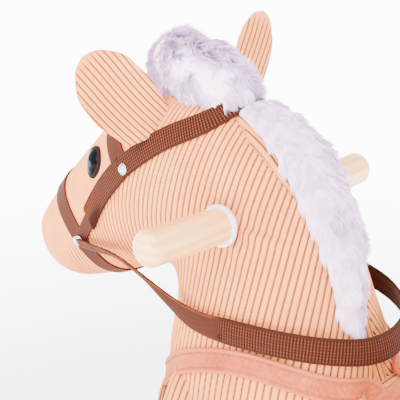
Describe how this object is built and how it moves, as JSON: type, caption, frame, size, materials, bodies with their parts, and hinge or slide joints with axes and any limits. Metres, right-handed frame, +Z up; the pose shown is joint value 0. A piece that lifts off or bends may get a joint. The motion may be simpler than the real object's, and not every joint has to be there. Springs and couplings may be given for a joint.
{
  "type": "rocking horse",
  "caption": "Toddler's corduroy rocking horse with wooden handles, webbing bridle and rein, padded saddle, hanging stirrups and bow rockers.",
  "frame": {"origin": "on the floor under the middle of the rockers, at the bottom centre of the bounding box", "axes": "+Z up, -Y the way the horse faces, +X the horse's left side"},
  "size_m": [0.2704, 0.7204, 0.5939],
  "materials": {
    "varnished_pine": "satin",
    "raw_birch": "matte",
    "zinc_steel": "satin",
    "collar_plastic": "satin",
    "corduroy": "matte",
    "stuffing": "matte",
    "hoof_suede": "matte",
    "white_fur": "matte",
    "brown_webbing": "matte",
    "peach_suede": "matte",
    "bright_metal": "polished",
    "eye_gloss": "gloss",
    "eye_rim_felt": "matte",
    "stirrup_plastic": "satin"
  },
  "bodies": {
    "horse": {"bit_rivets": "bright_metal", "body_board": "raw_birch", "breast_strap": "peach_suede", "brow_rivets": "bright_metal", "browband": "brown_webbing", "cheek_strap_left": "brown_webbing", "cheek_strap_right": "brown_webbing", "chin_strap": "brown_webbing", "crown_strap": "brown_webbing", "ear_left": "corduroy", "ear_right": "corduroy", "eye_left": "eye_gloss", "eye_right": "eye_gloss", "eye_rims": "eye_rim_felt", "foot_board_screws": "zinc_steel", "forelock": "white_fur", "front_foot_board": "varnished_pine", "front_left_hoof": "hoof_suede", "front_left_leg": "corduroy", "front_right_hoof": "hoof_suede", "front_right_leg": "corduroy", "girth_buckle": "bright_metal", "girth_strap": "brown_webbing", "handle_collar_left": "collar_plastic", "handle_collar_right": "collar_plastic", "handle_hanger_bolts": "zinc_steel", "handle_left": "varnished_pine", "handle_right": "varnished_pine", "head_neck_cover": "corduroy", "head_neck_stuffing": "stuffing", "leg_bolts": "zinc_steel", "leg_post_screws": "zinc_steel", "leg_posts": "raw_birch", "leg_washers": "zinc_steel", "mane": "white_fur", "middle_stretcher": "varnished_pine", "neck_post": "raw_birch", "neck_post_screws": "zinc_steel", "noseband": "brown_webbing", "rear_foot_board": "varnished_pine", "rear_left_hoof": "hoof_suede", "rear_left_leg": "corduroy", "rear_right_hoof": "hoof_suede", "rear_right_leg": "corduroy", "rein": "brown_webbing", "rocker_left": "varnished_pine", "rocker_right": "varnished_pine", "saddle_seat": "peach_suede", "saddle_skirt": "peach_suede", "stirrup_rivets": "bright_metal", "stretcher_bolts": "zinc_steel", "torso_cover": "corduroy", "torso_stuffing": "stuffing"},
    "strap_left": {"stirrup_strap_left": "brown_webbing"},
    "stirrup_left": {"stirrup_left": "stirrup_plastic"},
    "strap_right": {"stirrup_strap_right": "brown_webbing"},
    "stirrup_right": {"stirrup_right": "stirrup_plastic"},
    "tail": {"tail": "white_fur"}
  },
  "joints": [
    {"name": "stirrup_strap_left_swing", "type": "hinge", "parent": "horse", "child": "strap_left", "pos_m": [0.08108, 0.087, 0.243], "axis": [1, 0, 0], "range_deg": [-35, 12]},
    {"name": "stirrup_left_tilt", "type": "hinge", "parent": "strap_left", "child": "stirrup_left", "pos_m": [0.08108, 0.087, 0.171], "axis": [0, -1, 0], "range_deg": [-35, 45]},
    {"name": "stirrup_strap_right_swing", "type": "hinge", "parent": "horse", "child": "strap_right", "pos_m": [-0.08108, 0.087, 0.243], "axis": [1, 0, 0], "range_deg": [-35, 12]},
    {"name": "stirrup_right_tilt", "type": "hinge", "parent": "strap_right", "child": "stirrup_right", "pos_m": [-0.08108, 0.087, 0.171], "axis": [0, 1, 0], "range_deg": [-35, 45]},
    {"name": "tail_lift", "type": "hinge", "parent": "horse", "child": "tail", "pos_m": [0, 0.241, 0.29], "axis": [1, 0, 0], "range_deg": [-4, 45]}
  ]
}
